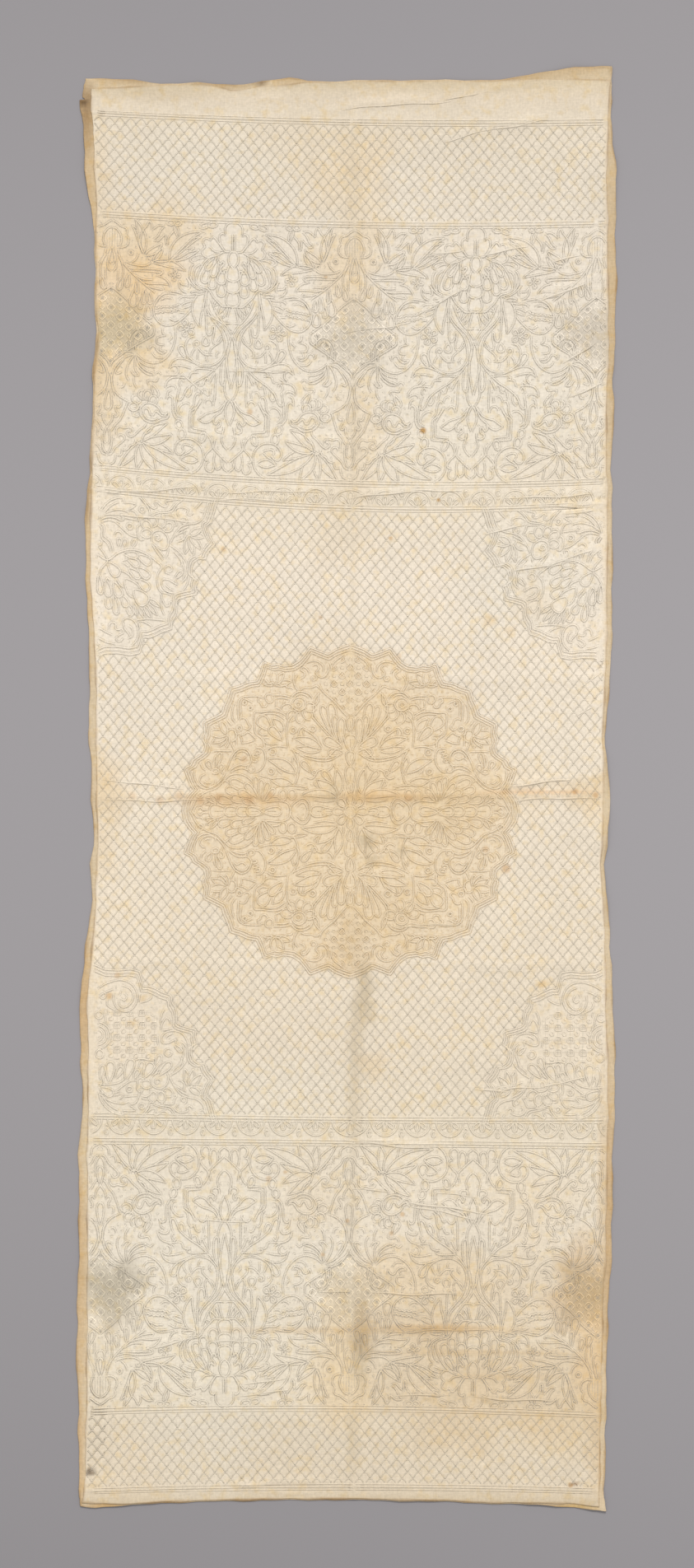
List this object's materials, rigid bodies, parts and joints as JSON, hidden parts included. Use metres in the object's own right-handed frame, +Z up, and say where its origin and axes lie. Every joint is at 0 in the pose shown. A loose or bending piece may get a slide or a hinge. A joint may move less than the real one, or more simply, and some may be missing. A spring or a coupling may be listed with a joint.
{
  "type": "corded quilted bedcover panel",
  "caption": "Long flat bedcover panel: a fine cream face cloth, corded and quilted all over in flowers and scales, on a coarser backing cloth, lying flat.",
  "frame": {"origin": "bottom centre of the panel's bounding box, on the surface that it lies on", "axes": "+Z up out of the worked face, +Y along the length to the head end, where the scales point, +X across the width"},
  "size_m": [0.834, 2.228, 0.0055],
  "materials": {
    "backing": "coarse plain-weave cotton, unbleached and browned with age",
    "face": "fine plain-weave cotton, cream, matt, softly ridged by quilted cords"
  },
  "bodies": {
    "root": {"backing_cloth": "backing", "face_cloth": "face"}
  },
  "joints": []
}
